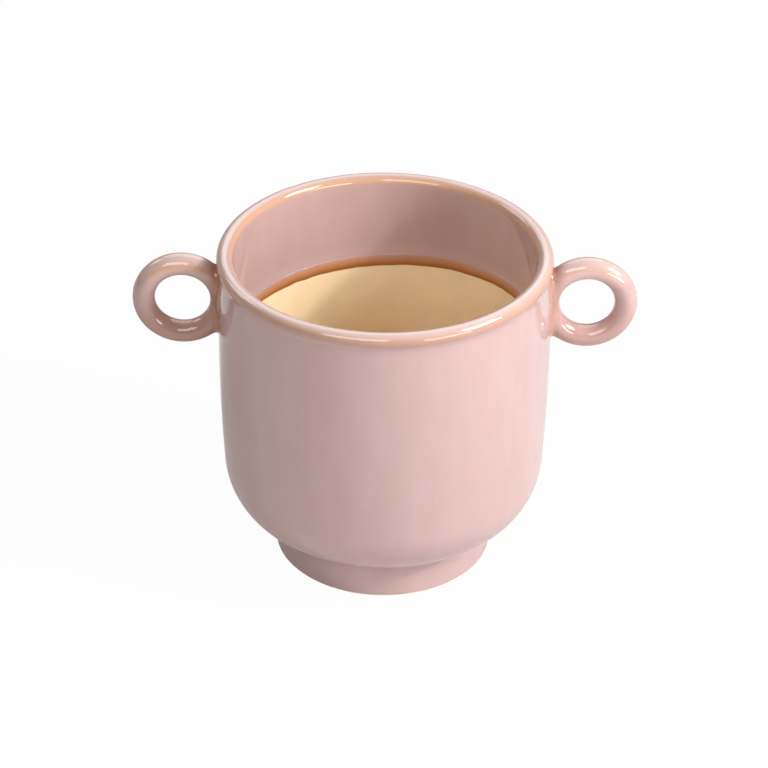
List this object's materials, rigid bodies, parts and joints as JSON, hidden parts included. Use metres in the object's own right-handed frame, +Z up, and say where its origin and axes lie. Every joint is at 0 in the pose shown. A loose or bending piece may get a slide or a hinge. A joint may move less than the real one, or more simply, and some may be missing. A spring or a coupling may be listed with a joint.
{
  "type": "ceramic planter",
  "caption": "Round glazed stoneware cover pot on a foot ring, with a rolled rim and a finger ring on each side, glazed outside and partway down inside.",
  "frame": {"origin": "middle of the foot ring's standing face, on the surface that the pot stands on", "axes": "+Z up along the pot's axis of turning, +X through the right-hand finger ring, -Y towards the viewer of the picture"},
  "size_m": [0.2266, 0.15, 0.1544],
  "materials": {
    "clay": "bare fired cream stoneware, matte and slightly gritty",
    "glaze": "glossy dusty pink glaze, thin and amber at edges, milky lavender where thick",
    "pooled_glaze": "glossy amber brown glaze, gathered thick"
  },
  "bodies": {
    "root": {"pot_body": "clay", "foot_ring": "clay", "foot_joint": "pooled_glaze", "finger_ring_left": "clay", "finger_ring_right": "clay", "ring_joint_left": "pooled_glaze", "ring_joint_right": "pooled_glaze", "pot_glaze": "glaze", "ring_glaze_left": "glaze", "ring_glaze_right": "glaze", "glaze_roll": "pooled_glaze"}
  },
  "joints": []
}
